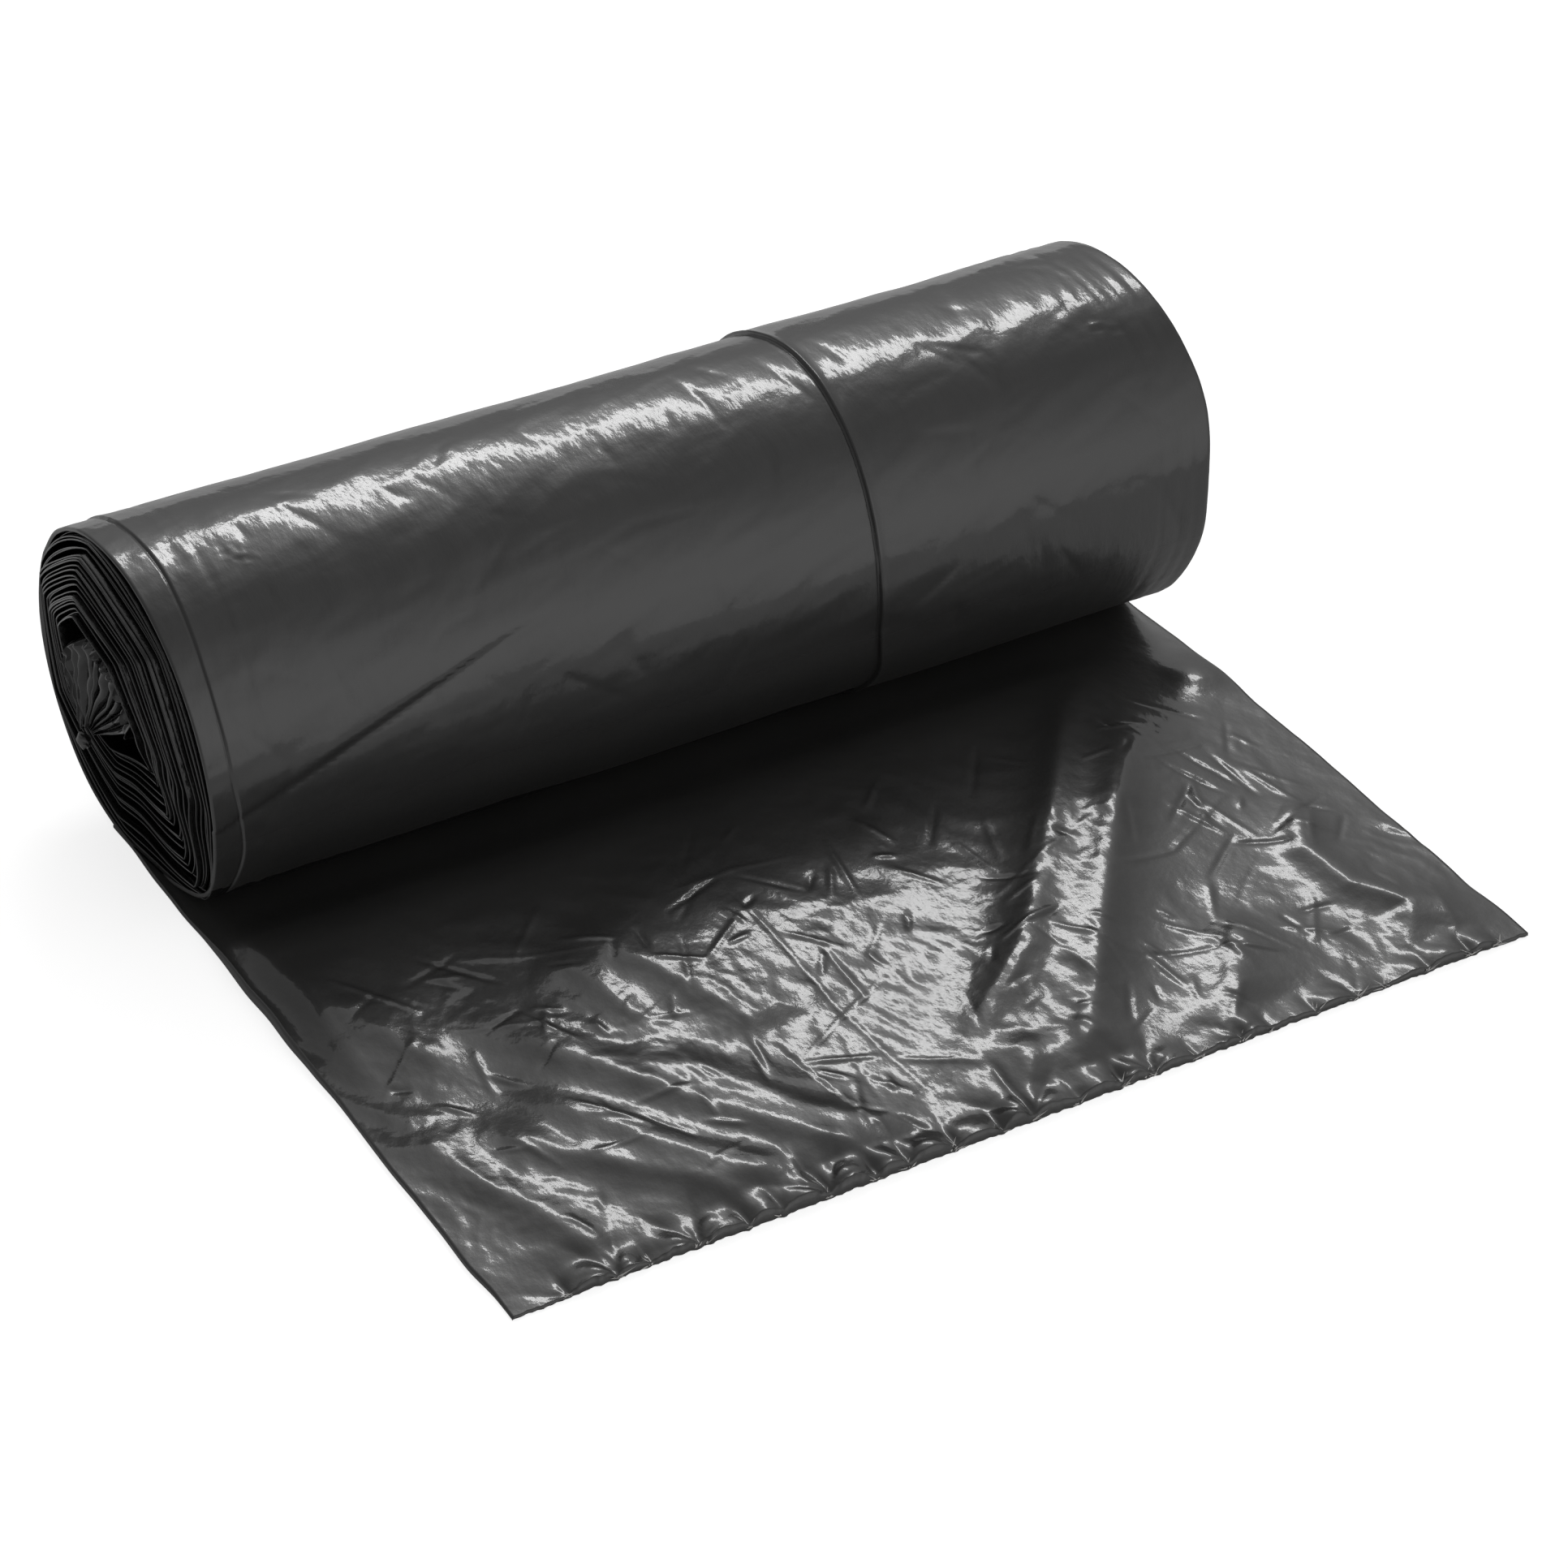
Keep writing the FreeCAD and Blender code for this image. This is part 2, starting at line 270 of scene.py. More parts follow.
# %% [markdown]
# The roll has sagged under its own weight, so its section is wider than it is high. An ellipse is
# close to it. A turn is named by its depth, from nothing at the outside to one at the hollow, and
# the turns' centres drift back and up, because the film has slipped forward and down.
# %% Section of the roll
HALF_WIDTH = 53.7 * MM
HALF_HEIGHT = 48.4 * MM
HOLLOW_HALF_WIDTH = 20.0 * MM
HOLLOW_HALF_HEIGHT = 21.0 * MM
HOLLOW_SHIFT = 7.0 * MM
NEAR_EDGE = -151.0 * MM
FAR_EDGE = 153.0 * MM
FLOOR_GAP = 1.6 * MM


def section(angle, depth, swell=0.0):
    """Y and Z of a turn at an angle: nothing at the back, a quarter turn at the top."""
    half_width = HALF_WIDTH + (HOLLOW_HALF_WIDTH - HALF_WIDTH) * depth + swell
    half_height = HALF_HEIGHT + (HOLLOW_HALF_HEIGHT - HALF_HEIGHT) * depth + swell
    from_corner = angle - math.radians(232)
    corner = np.exp(-((np.cos(from_corner) - 1) ** 2) / 0.02)
    stretch = 1 + 0.62 * depth * (1.05 - depth) * corner
    slack = np.minimum(depth * 4, 1.0) * 0.075 * (0.6 - np.abs(np.sin(3.5 * from_corner)))
    y = HOLLOW_SHIFT * depth + half_width * np.cos(angle) * (stretch + slack)
    z = HALF_HEIGHT + 4.0 * MM * depth + half_height * np.sin(angle) * (stretch + slack)
    return y, np.maximum(z, FLOOR_GAP)


# %% [markdown]
# The outermost turn is one smooth wrap. Under it lie the edges of folded layers, which show as
# steps right round it: one near each end of the fold. The film is gathered at the far end, and one
# long slack crease runs over the front. All of that is moved points of one grid, because the light
# only shows it when the steps are really there.
# %% Places of the folds and edges
WRAP_COLUMNS = 300
FOLD_HALF = 0.22 * MM


def near_edge(degrees):
    return NEAR_EDGE + 5.0 * MM * np.exp(-(((degrees - 245) / 40) ** 2))


def first_fold(degrees):
    return (-142.0 - 2.5 * soft_step(degrees, 95, 150) + 2.5 * soft_step(degrees, 165, 200)) * MM


def second_fold(degrees):
    back = 4.0 * soft_step(degrees, 185, 215) + 1.5 * soft_step(degrees, 250, 320)
    return (48.8 - 5.5 * soft_step(degrees, 85, 178) + back) * MM


def far_edge(degrees):
    shorter = 4.7 * soft_step(degrees, 138, 180) + 1.5 * soft_step(degrees, 185, 215)
    return FAR_EDGE - (shorter - 6.2 * soft_step(degrees, 250, 320)) * MM


def wrap_rows(degrees):
    """X of every row: the rows follow the folds, so that each step stays sharp."""
    marks = [near_edge(degrees)]
    for fold in (first_fold(degrees), second_fold(degrees)):
        marks += [fold - 3 * FOLD_HALF, fold - FOLD_HALF, fold + FOLD_HALF, fold + 5 * FOLD_HALF]
    marks.append(far_edge(degrees))
    rows = [marks[0]]
    for low, high, count in zip(marks, marks[1:], (14, 2, 2, 2, 190, 2, 2, 2, 104)):
        rows += [low + (high - low) * (i + 1) / count for i in range(count)]
    return np.concatenate(rows)


# %% Relief of the outermost turn
LONG_CREASE = ((-144, 182), (-119.5, 172), (-95.6, 163), (-70.7, 154), (-44, 146))
SHORT_CREASES = (
    ((-74, 139), (-64.7, 133), (-46.3, 116)),
    ((-61, 133), (-44, 127), (-25.8, 124)),
    ((-40, 136), (-20.6, 131), (6.3, 133)),
    ((-88, 150), (-80, 144), (-66, 141)),
    ((-132, 121), (-126, 117)),
    ((60, 122), (70, 116), (84, 113)),
    ((72, 146), (90, 136)),
)


def on_roll(points):
    """Points of x in mm and an angle in degrees, as mm along and mm around the roll."""
    return [(x, math.radians(degrees) * HALF_WIDTH / MM) for x, degrees in points]


def fold_steps(x, degrees):
    swell = 0.0 * x
    for fold, rise, lip in ((first_fold(degrees), 0.35, 0.15), (second_fold(degrees), 0.8, 0.35)):
        beyond = x - fold
        swell += rise * MM * soft_step(beyond, -FOLD_HALF, FOLD_HALF)
        swell += lip * MM * np.exp(-((beyond - 2 * FOLD_HALF) / (5 * FOLD_HALF)) ** 2)
        swell -= 0.25 * MM * np.exp(-((beyond + 1.5 * FOLD_HALF) / FOLD_HALF) ** 2)
    hoops = [(first_fold(degrees) + 10.5 * MM, 0.12)]
    hoops += [(far_edge(degrees) - inset * MM, 0.14) for inset in (4.0, 8.5, 15.0)]
    for place, depth in hoops:
        swell -= depth * MM * np.exp(-(((x - place) / (0.8 * MM)) ** 2))
    return swell


def faint_creases(x, around):
    """Short straight creases all over the wrap, most of them running round it."""
    chance = np.random.default_rng(16)
    relief = 0.0 * x
    for _ in range(90):
        middle = chance.uniform((-140, 70), (146, 185))
        heading = math.radians(chance.normal(80, 35))
        half = chance.uniform(4.0, 16.0)
        step = (half * math.cos(heading), half * math.sin(heading))
        away, side, along = line_distance(x, around, (tuple(middle - step), tuple(middle + step)))
        fade = np.sin(np.pi * np.clip(along, 0.02, 0.98))
        flank = np.where(side > 0, 1.1 * MM, 3.0 * MM)
        relief -= chance.uniform(0.10, 0.32) * MM * fade * np.exp(-away / flank)
    return relief


def slack_creases(x, around):
    away, side, along = line_distance(x, around, on_roll(LONG_CREASE))
    depth = 0.9 * (1 - soft_step(along, 0.75, 1.0))
    flank = np.where(side > 0, 0.9 * MM, 2.6 * MM)
    relief = -depth * MM * np.exp(-away / flank)
    sag = (1 - np.exp(-away / (8 * MM))) * np.exp(-away / (34 * MM))
    relief -= np.where(side < 0, 1.3 * depth * MM * sag, 0.0)
    for line in SHORT_CREASES:
        away, _, along = line_distance(x, around, on_roll(line))
        fade = np.sin(np.pi * np.clip(along, 0.02, 0.98))
        relief -= 0.22 * MM * fade * np.exp(-away / (0.8 * MM))
    return relief


def wrap_swell(x, degrees):
    around = np.radians(degrees) * HALF_WIDTH
    swell = fold_steps(x, degrees) + slack_creases(x, around) + faint_creases(x, around)
    flat = ((x + 88 * MM) / (30 * MM)) ** 2 + ((around - 89.5 * MM) / (7 * MM)) ** 2
    swell -= 0.32 * MM * np.exp(-flat)
    swell += 0.35 * MM * noise(x / (48 * MM), around / (30 * MM), 3)
    slant_along = (0.948 * x - 0.317 * around) / (34 * MM)
    slant_across = (0.317 * x + 0.948 * around) / (10 * MM)
    calm = 1 - 0.6 * soft_step(degrees, 160, 195)
    swell += 0.26 * MM * calm * ridges(slant_along, slant_across, 4, 0.08)
    swell += 0.09 * MM * ridges(2.3 * slant_along, 2.4 * slant_across, 7, 0.08)
    hoop_along, hoop_around = (x + 0.12 * around) / (11 * MM), around / (42 * MM)
    swell += 0.07 * MM * ridges(hoop_along, hoop_around, 9, 0.08)
    swell += 0.02 * MM * ridges(2.6 * hoop_along, 2.2 * hoop_around, 15, 0.10)
    gather = soft_step(x, 108 * MM, 130 * MM) * (1 - soft_step(degrees, 120, 150))
    swell += 0.19 * MM * gather * ridges(x / (4.5 * MM), around / (34 * MM), 5, 0.10)
    near = 1 - soft_step(x, -136 * MM, -122 * MM)
    swell += 0.22 * MM * near * ridges(x / (7 * MM), (around + 0.8 * x) / (16 * MM), 6, 0.08)
    for mark_x, mark_degrees in ((131, 113), (136, 116), (-124, 103), (-121, 106)):
        off = np.hypot(x - mark_x * MM, around - math.radians(mark_degrees) * HALF_WIDTH)
        pit = np.exp(-((off / (2.2 * MM)) ** 2))
        swell += 0.5 * MM * pit * noise(x / (1.8 * MM), around / (1.8 * MM), 8)
    return swell


# %% Outermost turn
def make_outer_wrap():
    degrees = np.linspace(0, 360, WRAP_COLUMNS, endpoint=False)[None, :]
    x = wrap_rows(degrees)
    degrees = degrees + 0 * x
    closing = soft_step(degrees, 322, 360)
    swell = wrap_swell(x, degrees) * (1 - closing) + wrap_swell(x, degrees - 360) * closing
    rows = [(x, swell)]
    for end, tuck in ((0, -0.35), (-1, 0.35)):
        lips = [(tuck, 0.35), (tuck, 0.8), (0.0, 1.2)]
        rims = [(x[end] + out * MM, swell[end] - inward * MM) for out, inward in lips]
        rim = tuple(np.stack(part) for part in zip(*(rims[::-1] if end == 0 else rims)))
        rows = [rim, *rows] if end == 0 else [*rows, rim]
    x, swell = (np.concatenate(part) for part in zip(*rows))
    y, z = section(np.radians(degrees[:1]), 0.0, swell)
    points = np.stack((x, y, z), axis=-1)
    return film_piece("outer_wrap", points, wrap_film, wrap_columns=True)


outer_wrap = make_outer_wrap()

# %% [markdown]
# Under the wrap the film is one long folded strip, wound up in some twenty turns. Each turn has
# crept a little past the turn outside it, most at the top and the back, so the end shows as stepped
# bands. One strip with a rounded fold at both edges is swept along the spiral.
# %% Wound turns
TURNS = 22
TURN_COLUMNS = 180
WEB_THICKNESS = 0.45 * MM


def creep(degrees, depth):
    reach = 4.5 + 3.0 * np.sin(np.radians(degrees + 15))
    return reach * MM * (1 - np.exp(-depth / 0.35)) / (1 - math.exp(-1 / 0.35))


def make_wound_turns():
    travel = np.arange(TURNS * TURN_COLUMNS + 1) / TURN_COLUMNS
    degrees = (360 * travel) % 360
    angle = np.radians(degrees)
    depth = (travel + 0.4) / (TURNS + 0.4)
    level = travel * 0 + 0.5
    uneven = 1.5 * MM * noise(travel * 0.93, level, 12) + 0.35 * MM * noise(travel * 5.0, level, 11)
    near = near_edge(degrees) - creep(degrees, depth) + uneven + 0.8 * MM
    far = far_edge(degrees) - 1.0 * MM - 0.6 * creep(degrees, depth) - uneven
    gap = (0.8 + 0.3 * np.maximum(-np.cos(angle), 0)) * MM
    wander = gap * noise(travel * 1.03, level + 6, 14) + 0.25 * MM * noise(travel * 6.0, level, 13)
    half = WEB_THICKNESS / 2
    fold = ((0.25, -1.0), (0.08, -0.8), (0.0, 0.0), (0.08, 0.8), (0.25, 1.0))
    rows = [(near + 25 * MM, -half), (near + 4 * MM, -half)]
    rows += [(near + inset * MM, side * half) for inset, side in fold]
    rows += [(near + 4 * MM, half), (near + 25 * MM, half)]
    rows += [(far - 25 * MM, half), (far - 4 * MM, half)]
    rows += [(far - inset * MM, side * half) for inset, side in fold[::-1]]
    rows += [(far - 4 * MM, -half), (far - 25 * MM, -half)]
    grid = []
    for x, offset in rows:
        y, z = section(angle, depth, offset + wander)
        grid.append(np.stack((x, y, z), axis=-1))
    return film_piece("wound_turns", np.stack(grid), edge_film_painted_shade, wrap_rows=True)


wound_turns = make_wound_turns()

# %% [markdown]
# The web starts inside the hollow, where it was crumpled round the winder's finger. It hangs from
# the top of the hollow as a fan of pleats that closes into a small rolled tip. The fan is a grid
# between the rim and the tip, and the pleats are sharp waves that narrow on the way down.
# %% Pleated start of the web
PLEATS = 11
RIM = ((22, 55), (20, 61), (12, 67), (2, 69), (-7, 67), (-12, 60), (-13, 50))
TIP = (-158.5, 9.5, 39.0)


def make_start_pleats():
    across = np.linspace(0, 1, 260)[None, :]
    down = np.linspace(0, 1, 80)[:, None]
    steps = np.linspace(0, 1, len(RIM))
    rim_y = np.interp(across, steps, [y for y, z in RIM])
    rim_z = np.interp(across, steps, [z for y, z in RIM])
    phase = PLEATS * across + 0.4 * noise(across * 5, down * 2, 21)
    fold = 1 - 2 * np.abs(np.sin(np.pi * phase)) ** 0.7
    narrow = 1 - 0.9 * down ** (1.1 + 0.7 * across)
    x = TIP[0] + 1.5 * (1 - down) + 6.0 * across * (0.3 + down * (1 - down) * 2)
    x = x + 1.8 * fold * (0.25 + 0.75 * narrow) + 0.8 * noise(across * 9, down * 5, 22)
    y = TIP[1] + (rim_y - TIP[1]) * narrow + 0.6 * noise(across * 6, down * 4 + 3, 23)
    z = TIP[2] + (rim_z - TIP[2]) * narrow + 0.9 * fold * (1 - down)
    points = np.stack((x, y, z), axis=-1)
    back = points[:1] + np.array((3.0, 0.0, 1.0))
    far_back = points[:1] + np.array((30.0, 0.0, 2.0))
    return film_piece("start_pleats", np.concatenate((far_back, back, points)) * MM, edge_film_painted_shade)


def make_rolled_tip():
    turn = np.linspace(0, 2 * np.pi, 40, endpoint=False)[None, :]
    rise = np.linspace(0.04, 0.96, 18)[:, None] * np.pi
    curl = 1 + 0.12 * noise(turn * 1.6, rise * 1.5, 24) + 0.08 * np.sin(3 * turn + 4 * rise)
    x = TIP[0] - 0.8 + 1.6 * curl * np.sin(rise) * np.cos(turn)
    y = TIP[1] - 0.8 + 2.7 * curl * np.cos(rise)
    z = TIP[2] - 0.6 + 2.1 * curl * np.sin(rise) * np.sin(turn)
    return film_piece("rolled_tip", np.stack((x, y, z), axis=-1) * MM, wrap_film, wrap_columns=True)


start_pleats = make_start_pleats()
rolled_tip = make_rolled_tip()

# %% [markdown]
# The loose bag lies flat but creased. Its big folds run from under the roll to the torn edge, and
# between them the film is covered in soft crumples. It is a height over the floor, so one grid
# carries all of it: first the big folds as crests along lines, then ridged noise at two sizes, then
# the pinches where the film was still tied to the next bag.
# %% Loose bag
BAG_COLUMNS = 400
BAG_LEFT = -149.0 * MM
BAG_RIGHT = 147.5 * MM
BAG_START = 20.0 * MM
BAG_END = -206.0 * MM
TIE_PITCH = 11.9 * MM
FIRST_TIE = -134.0 * MM


def crest(x, y, points, height, steep, gentle):
    """A fold with a soft crest, steep on its right hand and gentle on its left."""
    away, side, along = line_distance(x, y, points)
    width = np.where(side > 0, steep, gentle) * MM
    profile = np.exp((3.0 * MM - np.sqrt(away**2 + (3.0 * MM) ** 2)) / width)
    start = soft_step(along, 0.0, 0.3)
    end = 1 - 0.6 * soft_step(along, 0.85, 1.0)
    uneven = 1 + 0.15 * noise(x / (26 * MM), y / (32 * MM), 39)
    return height * MM * profile * start * end * uneven


BAG_FOLDS = (
    (((119, -48), (95, -69), (61, -112), (28, -151), (-7, -178)), 4.0, 6, 9),
    (((118, -71), (93, -99), (75, -122), (57, -145), (35, -173), (9, -205)), 4.6, 9, 8),
    (((88, -160), (75, -180), (61, -196), (52, -205)), 3.0, 6, 10),
    (((10, -176), (4, -192), (-7, -205)), 2.2, 6, 8),
    (((-73, -82), (-64, -98), (-56, -118), (-48, -135), (-46, -150)), 2.2, 6, 22),
    (((-85, -94), (-75, -104), (-71, -131)), 1.3, 4, 6),
    (((-104, -96), (-95, -128), (-78, -156), (-57, -185), (-41, -208)), 3.6, 8, 12),
    (((-82, -135), (-63, -157), (-52, -177), (-40, -188)), 1.5, 4, 7),
    (((-112, -130), (-92, -169), (-74, -194), (-65, -208)), 3.2, 8, 10),
    (((-128, -134), (-112, -162), (-103, -172), (-88, -189), (-76, -206)), 2.2, 6, 8),
    (((-141, -120), (-133, -163), (-125, -180), (-121, -206)), 2.2, 6, 9),
    (((-142, -63), (-136, -82), (-120, -120)), 1.2, 5, 8),
    (((133, -118), (118, -150), (119, -168), (128, -182), (118, -196)), 2.4, 4, 7),
    (((138, -177), (132, -196), (119, -205)), 1.2, 4, 6),
)
BAG_CREASES = (
    (((-27, -60), (-25, -116), (-25, -147), (-21, -190)), 0.35),
    (((-8, -142), (-27, -151), (-44, -161)), 0.6),
    (((-29, -155), (-32, -167), (-35, -187)), 0.3),
    (((-47, -106), (-55, -125)), 0.5),
    (((-101, -84), (-87, -91), (-66, -99)), -0.3),
    (((-113, -108), (-95, -116), (-86, -118)), -0.3),
    (((-41, -88), (-21, -87), (-5, -89)), -0.3),
    (((-72, -129), (-55, -121)), 0.3),
    (((31, -130), (53, -122), (80, -113)), -0.35),
    (((69, -135), (86, -134), (111, -120)), -0.5),
    (((84, -93), (95, -92)), -0.4),
    (((18, -161), (16, -171), (21, -169)), -0.4),
    (((134, -108), (129, -126), (116, -136), (100, -142)), 0.25),
    (((117, -137), (95, -154), (79, -168)), 0.25),
    (((138, -177), (132, -196), (119, -205)), -0.3),
)


def scattered_creases(count, seed):
    """Short straight creases here and there, most of them running from the roll to the edge."""
    chance = np.random.default_rng(seed)
    lines = []
    for _ in range(count):
        middle = chance.uniform((-135, -198), (135, -70))
        heading = math.radians(chance.normal(-65, 50))
        half = chance.uniform(2.5, 12.0)
        step = (half * math.cos(heading), half * math.sin(heading))
        start, end = middle - step, middle + step
        lines.append(((tuple(start), tuple(end)), chance.choice((-0.75, -0.5, 0.5, 0.75))))
    return lines


def bag_hump(x, y):
    """The broad swell of the film where it comes off the roll and sinks to the floor."""
    left = soft_step(-x, 45 * MM, 115 * MM)
    rise = soft_step(-y, 20 * MM, 62 * MM) * (1 - soft_step(-y, 55 * MM, (205 - 60 * left) * MM))
    inside = 1 - soft_step(x, 90 * MM, 150 * MM) - 0.9 * soft_step(-x, 138 * MM, 149 * MM)
    bump = np.exp(-((np.hypot(x - 140 * MM, y + 68 * MM) / (9 * MM)) ** 2))
    middle = np.exp(-(((x + 25 * MM) / (45 * MM)) ** 2) - ((y + 98 * MM) / (28 * MM)) ** 2)
    return ((5.0 + 1.5 * left) * rise * (0.25 + 0.75 * inside) + 2.5 * bump + 1.6 * middle) * MM


def bag_height(x, y):
    calm = soft_step(-y, 34 * MM, 92 * MM)
    lift = bag_hump(x, y)
    for points, height, steep, gentle in BAG_FOLDS:
        lift += crest(x, y, points, height, steep, gentle)
    warp_x = x + 5 * MM * noise(x / (30 * MM), y / (30 * MM), 31)
    warp_y = y + 5 * MM * noise(x / (30 * MM), y / (30 * MM), 32)
    slant = warp_x + 0.55 * warp_y
    lift += calm * 0.55 * MM * ridges(slant / (17 * MM), (warp_y - 0.3 * warp_x) / (30 * MM), 33, 0.14)
    patch = 0.35 + 0.65 * soft_step(noise(x / (40 * MM), y / (40 * MM), 34), -0.25, 0.35)
    lift += calm * patch * 0.26 * MM * ridges(warp_x / (7 * MM), warp_y / (10 * MM), 35, 0.08)
    lift += calm * patch * 0.09 * MM * ridges(warp_x / (3.4 * MM), warp_y / (4.6 * MM), 36, 0.10)
    for points, depth in (*BAG_CREASES, *scattered_creases(150, 37)):
        away, _, along = line_distance(x, y, points)
        fade = np.sin(np.pi * np.clip(along, 0.03, 0.97)) ** 0.5
        lift -= 0.5 * depth * MM * fade * np.exp(-((away / (0.8 * MM)) ** 2))
    return lift


def tie_places():
    return [FIRST_TIE + TIE_PITCH * i + 1.6 * MM * math.sin(2.1 * i) for i in range(24)]


def pinches(x, y):
    """Rays that run out from every tie of the torn edge, each tie with its own reach."""
    lift = 0.0 * x
    for number, tie in enumerate(tie_places()):
        own = 0.5 + 0.5 * math.sin(number * 2.4)
        out = np.hypot(x - tie, y - BAG_END)
        turn = np.arctan2(x - tie, y - BAG_END + 1e-6)
        rays = np.abs(np.sin(turn * (2.0 + 2 * own) + number * 1.7))
        calm = 1 - 0.5 * soft_step(tie, 20 * MM, 70 * MM)
        reach = (2.5 + 10 * own * own * calm) * MM
        near = np.exp(-out / reach) * (1 - np.exp(-out / (1.2 * MM)))
        lift += (0.8 + 1.3 * own) * calm * MM * rays * near
    return lift


def make_loose_bag():
    across = np.linspace(0, 1, BAG_COLUMNS)[None, :]
    rows = np.concatenate((np.linspace(BAG_START, -45 * MM, 24), np.linspace(-45.7 * MM, BAG_END, 221)))
    x = BAG_LEFT + (BAG_RIGHT - BAG_LEFT) * across + 0 * rows[:, None]
    y = rows[:, None] + 0 * across
    between = 1 - np.abs(2 * (np.interp(x, tie_places(), range(24)) % 1.0) - 1)
    front = soft_step(-y, 188 * MM, 206 * MM)
    y = y + 0.5 * MM * np.sqrt(between) * front + 0.55 * MM * noise(x / (2 * MM), y * 0, 42) * front
    fade = soft_step(-y, 24 * MM, 50 * MM)
    puff = 1.0 - 0.6 * soft_step(x, 0.0, 60 * MM) + 0.7 * noise(x / (17 * MM), y * 0 + 0.3, 43)
    arch = 2.1 * MM * puff * (1 - (1 - between) ** 2) * soft_step(-y, 196 * MM, 204 * MM)
    base = (0.9 - 0.4 * front * (1 - soft_step(x, 20 * MM, 70 * MM))) * MM
    z = base + (bag_height(x, y) + pinches(x, y)) * fade * (1 - 0.55 * front) + arch
    x = x + 0.7 * MM * noise(y / (20 * MM), x * 0 + 0.5, 41) * soft_step(np.abs(x), 0.1, 0.148)
    grid = np.stack((x, y, np.maximum(z, 0.2 * MM)), axis=-1)
    hem = grid[-1:].copy()
    hem[..., 2] = 0.1 * MM
    hem[..., 1] += 0.3 * MM
    grid = np.concatenate((grid, hem))
    left, right = grid[:, :1].copy(), grid[:, -1:].copy()
    left[..., 2] = 0.1 * MM
    right[..., 2] = 0.1 * MM
    grid = np.concatenate((left, grid, right), axis=1)
    piece = film_piece("loose_bag", grid, bag_film_painted_light)
    return piece


loose_bag = make_loose_bag()

# %% [markdown]
# Where the bags were torn apart, every tie was pulled out into a few thin pale shreds. Film turns
# whitish when it is stretched that far, so the shreds get a lighter, duller film. Each shred is a
# flat three-sided sliver that stands off the edge at its own angle.
# %% Torn ties
pale_film = black_film("stretched film", 0.80, 0.6, (0.30, 0.40), 0.2, (200.0, 200.0, 200.0))


SLIVER = ((0, 2, 1), (0, 1, 3), (1, 2, 3), (2, 0, 3))


def make_torn_ties():
    chance = np.random.default_rng(51)
    corners, faces = [], []
    for tie in tie_places():
        for _ in range(chance.integers(4, 8)):
            turn = chance.uniform(-2.8, 2.8)
            length = chance.uniform(1.4, 4.0)
            root = np.array((tie / MM + chance.normal(0, 0.7), BAG_END / MM + 0.3, 0.9))
            reach = np.array((math.sin(turn), -math.cos(turn), 0.0)) * length
            reach[1] = max(reach[1], -1.5)
            reach[2] = chance.uniform(0.6, 3.0)
            side = np.array((math.cos(turn), math.sin(turn), 0.0)) * 0.28
            first = len(corners)
            corners += [root - side, root + side, root + reach, root + (0, 0, 0.2)]
            faces += [(first + a, first + b, first + c) for a, b, c in SLIVER]
    mesh = bpy.data.meshes.new("torn_ties")
    mesh.from_pydata([tuple(corner * MM) for corner in corners], [], faces)
    mesh.materials.append(pale_film)
    piece = bpy.data.objects.new("torn_ties", mesh)
    bpy.context.scene.collection.objects.link(piece)
    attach(piece, "root")
    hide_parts("bag_web")
    print("torn_ties has", len(faces), "faces")
    return piece


torn_ties = make_torn_ties()

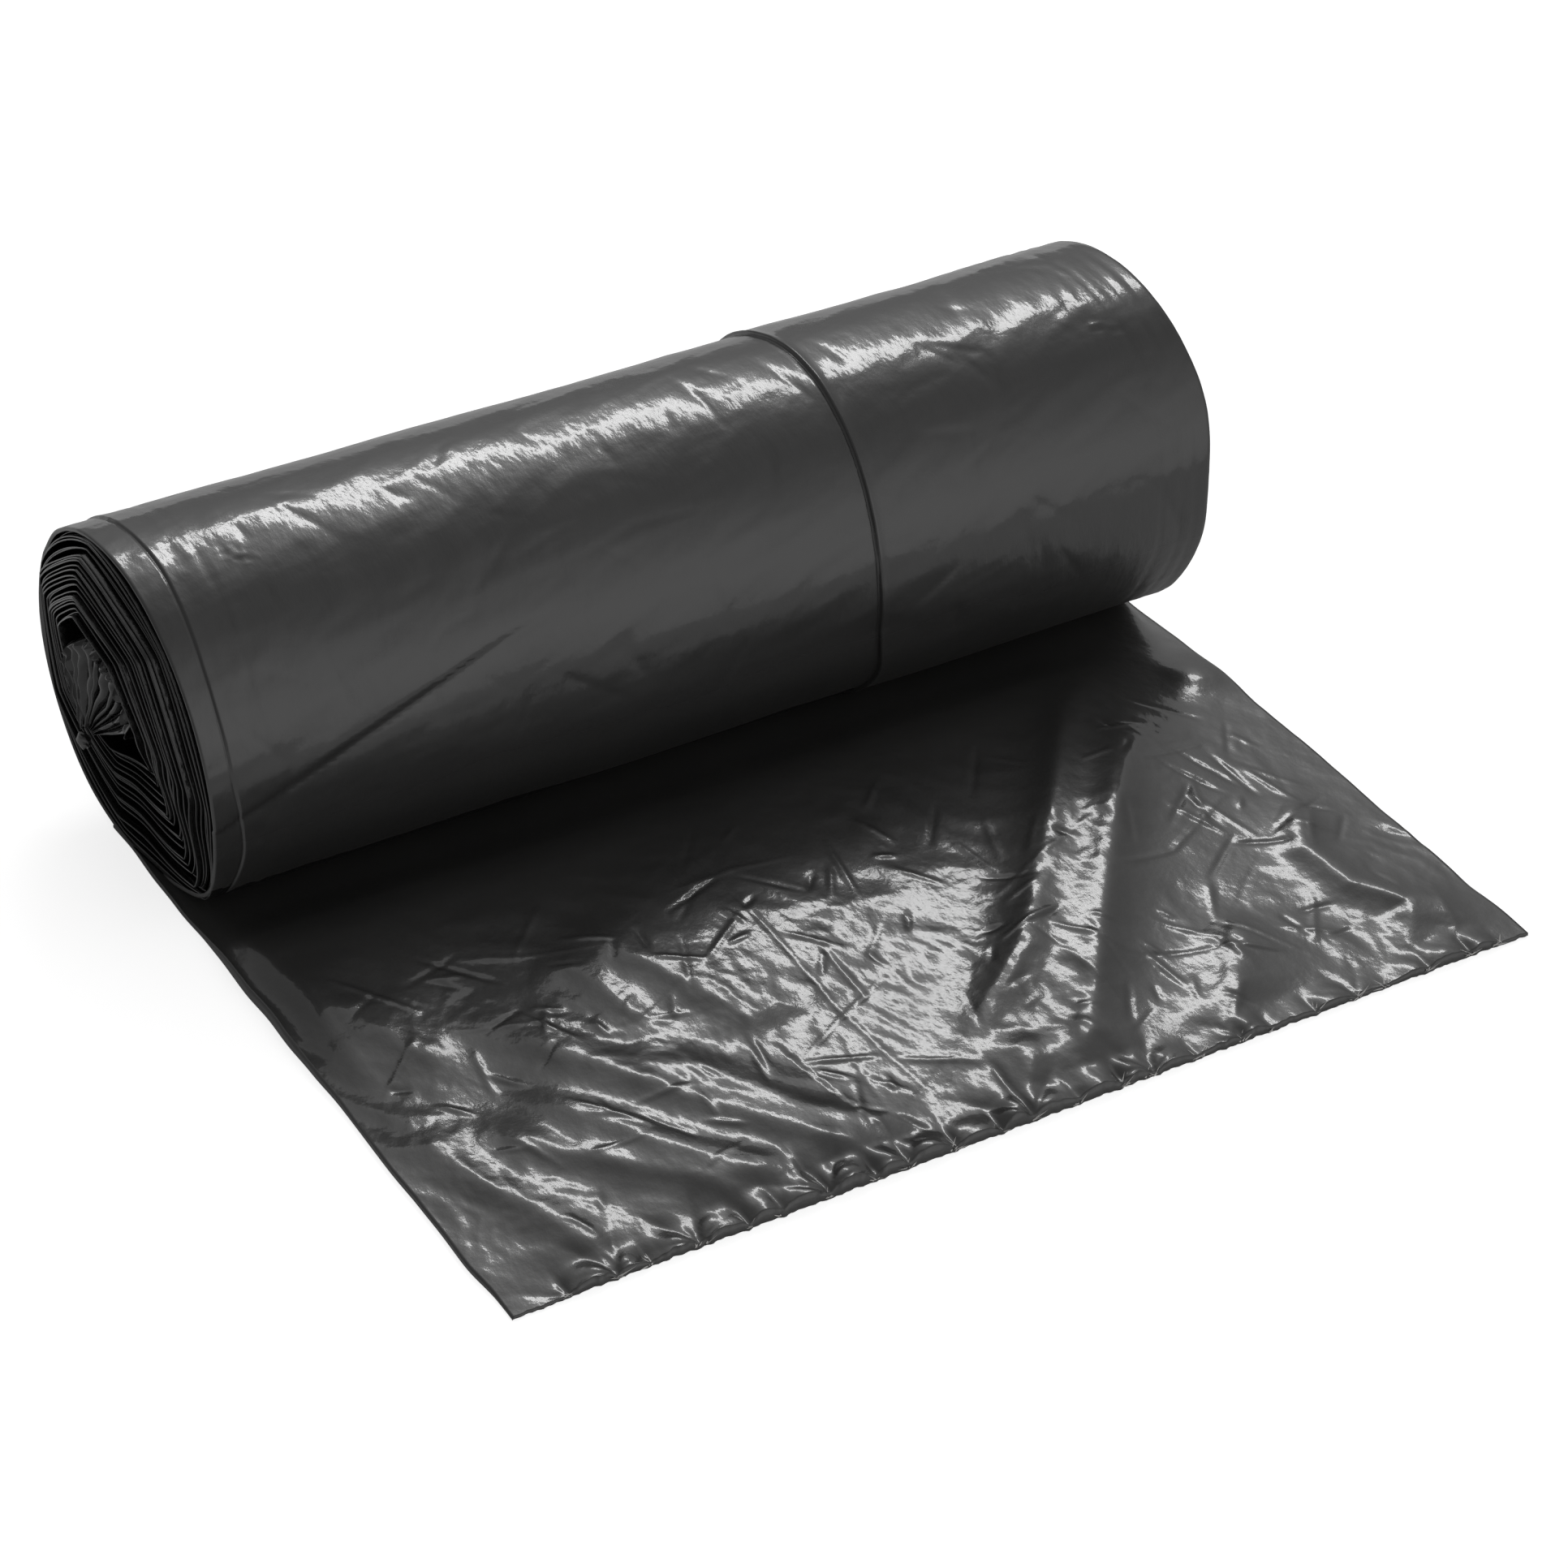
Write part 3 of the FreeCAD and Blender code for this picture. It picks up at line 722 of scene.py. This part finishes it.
# %% [markdown]
# The floor is plain and pale and keeps the soft shadow. The camera sees it nearly white, by a glow
# that only camera rays meet in full, so that its light on the object stays plain.
# %% Floor
def make_floor():
    mesh = bpy.data.meshes.new("floor")
    reach = 6.0
    corners = [(-reach, -reach, 0), (reach, -reach, 0), (reach, reach, 0), (-reach, reach, 0)]
    mesh.from_pydata(corners, [], [(0, 1, 2, 3)])
    floor = bpy.data.objects.new("floor", mesh)
    bpy.context.scene.collection.objects.link(floor)
    paper = bpy.data.materials.new("floor paper")
    paper.use_nodes = True
    board = Board(paper.node_tree)
    path = board.add("ShaderNodeLightPath")
    plain = board.add("ShaderNodeBsdfDiffuse", Color=(0.86, 0.86, 0.86, 1.0))["BSDF"]
    glow = 0.73 * path["Is Camera Ray"] + 0.05 * path["Is Glossy Ray"]
    white = board.add("ShaderNodeEmission", Color=(1, 1, 1, 1), Strength=glow)["Emission"]
    both = board.add("ShaderNodeAddShader", Shader=plain, Shader_001=white)["Shader"]
    board.add("ShaderNodeOutputMaterial", Surface=both)
    mesh.materials.append(paper)
    return floor


floor = make_floor()

# %% [markdown]
# Black gloss shows only what it reflects, so the light matters more than the colour. One long strip
# overhead gives the bright band along the roll and the glints on the folds. The room itself is dim
# above and brighter in two soft directions: in front, for the grey of the roll's face, and behind
# on the right, for the sheen of the loose bag. A smooth room has no panel edges to show in the film.
# %% Light
def add_strip(height, middle, heading, length, width, brightness):
    """A level strip overhead, its place and size given as shares of its height."""
    lamp = bpy.data.lights.new("long strip", "AREA")
    lamp.shape = "RECTANGLE"
    lamp.size, lamp.size_y = length * height, width * height
    lamp.energy = brightness * math.pi * lamp.size * lamp.size_y
    strip = bpy.data.objects.new("long strip", lamp)
    bpy.context.scene.collection.objects.link(strip)
    strip.location = Vector((middle[0] * height, middle[1] * height, height))
    strip.rotation_euler = (0, 0, math.radians(heading))
    return strip


def light_room():
    world = bpy.data.worlds.new("studio")
    bpy.context.scene.world = world
    world.use_nodes = True
    board = Board(world.node_tree)
    direction = board.add("ShaderNodeTexCoord")["Generated"]

    def glow(towards, power):
        aim = tuple(Vector(towards).normalized())
        facing = board.add(
            "ShaderNodeVectorMath", {"operation": "DOT_PRODUCT"}, Vector=direction, Vector_001=aim
        )["Value"]
        return facing.above(0.0) ** power

    room = 0.21 + 0.60 * glow((0.40, -0.85, 0.33), 3.0) + 0.66 * glow((0.36, 0.66, 0.66), 8.0)
    seen = board.add("ShaderNodeLightPath")["Is Camera Ray"]
    white = (1.0, 1.0, 1.0, 1.0)
    air = board.add("ShaderNodeBackground", Color=white, Strength=room * (1 - seen) + seen)
    board.add("ShaderNodeOutputWorld", Surface=air["Background"])


light_room()
add_strip(1.6, (0.577, 0.94), -75.8, 0.80, 0.19, 9.2)
bpy.context.scene.view_settings.view_transform = "Standard"

# %% Last update
bpy.context.view_layer.update()
